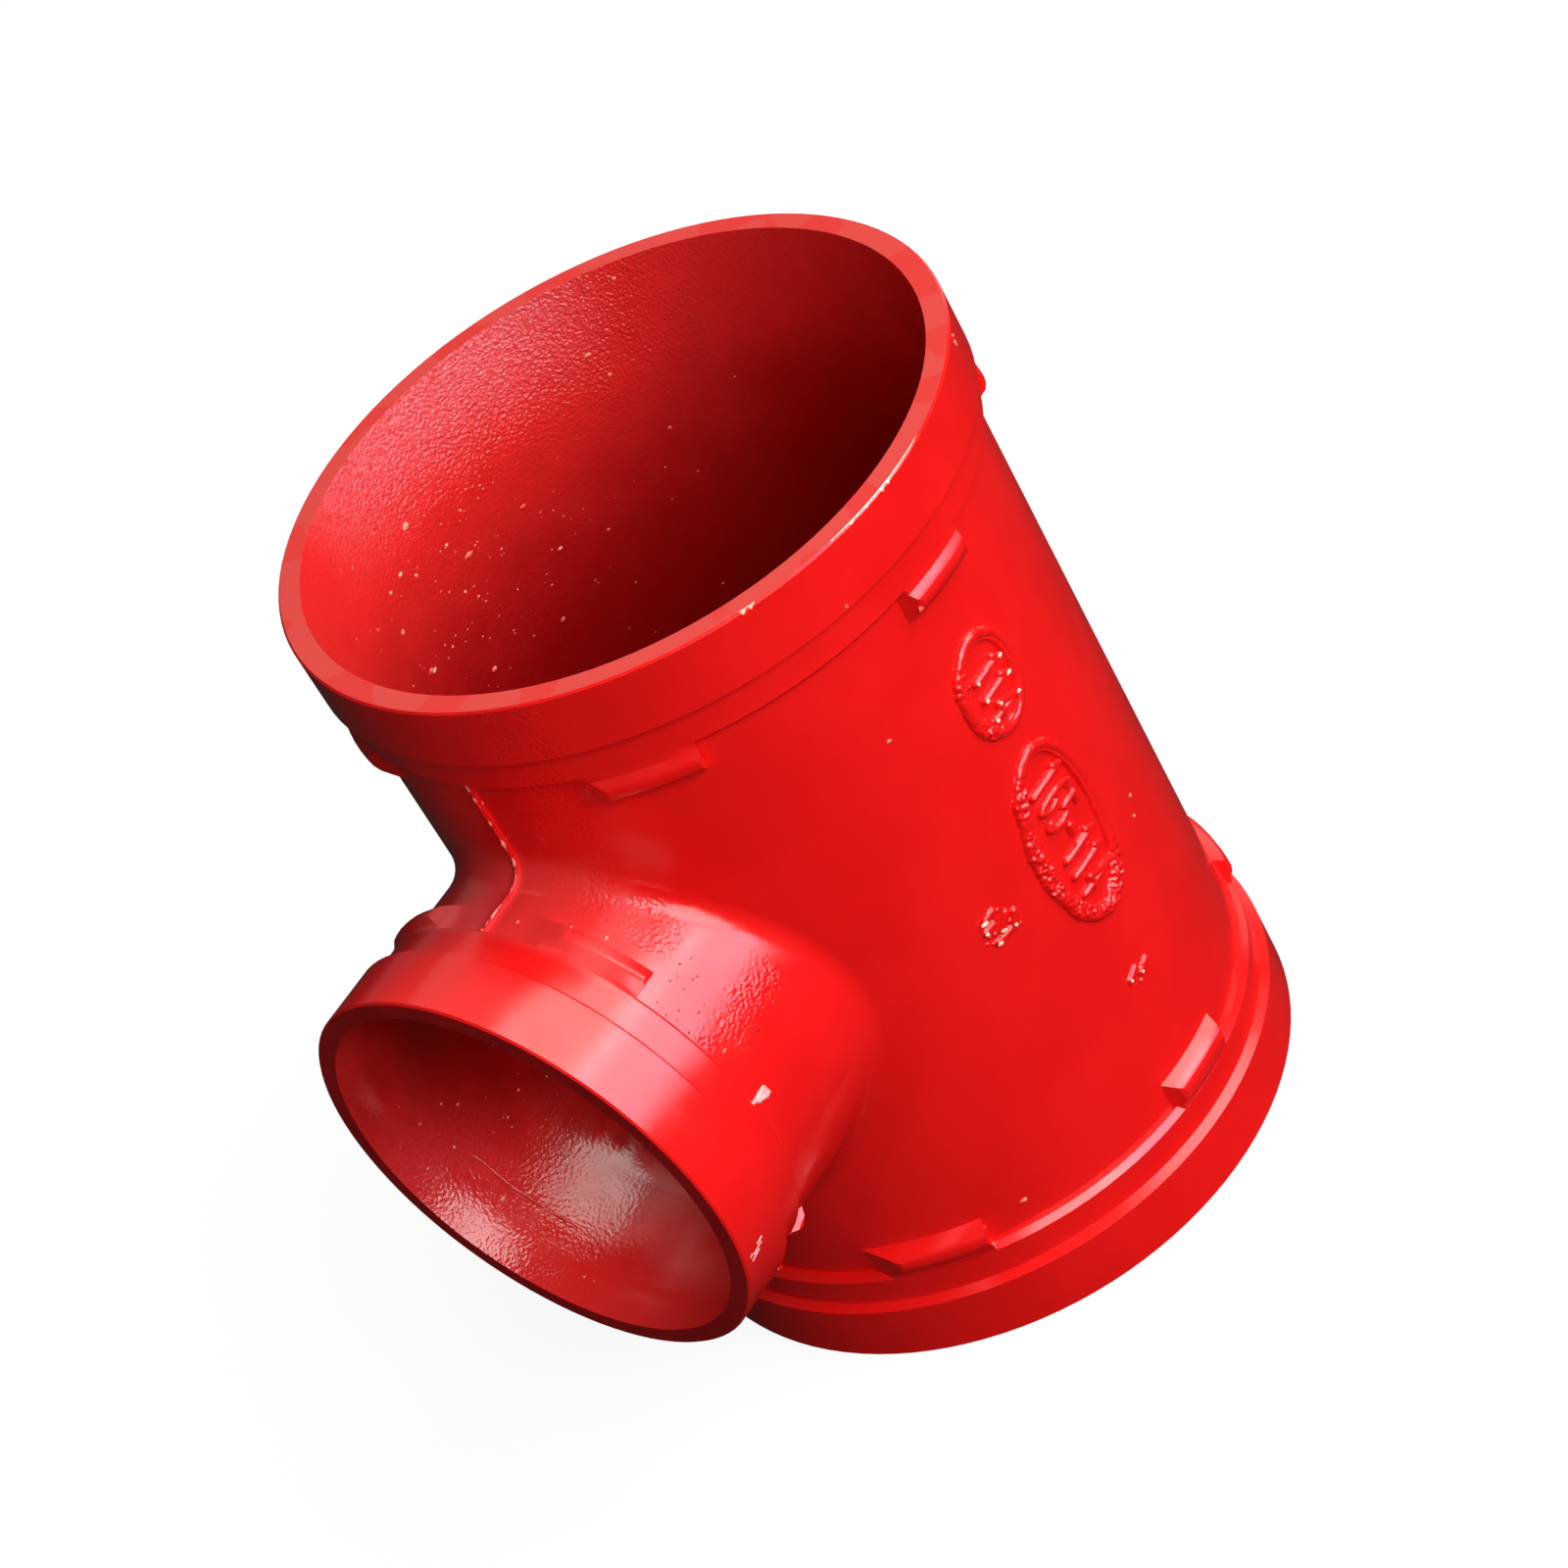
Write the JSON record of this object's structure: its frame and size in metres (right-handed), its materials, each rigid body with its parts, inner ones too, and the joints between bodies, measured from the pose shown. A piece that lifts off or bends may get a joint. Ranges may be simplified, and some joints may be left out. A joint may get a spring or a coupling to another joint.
{
  "type": "grooved reducing tee",
  "caption": "Reducing pipe tee cast in iron and painted red, with a grooved end on every port for clamped couplings.",
  "frame": {"origin": "where the run's axis and the branch's axis meet, at the middle of the run", "axes": "+Z along the run, +X along the branch towards its open end, +Y towards the flank with the raised oval frames; the plane y = 0 is the mould's parting plane"},
  "size_m": [0.2035, 0.165, 0.218],
  "materials": {
    "casting": "glossy red enamel over as-cast ductile iron"
  },
  "bodies": {
    "root": {"tee_body": "casting"}
  },
  "joints": []
}
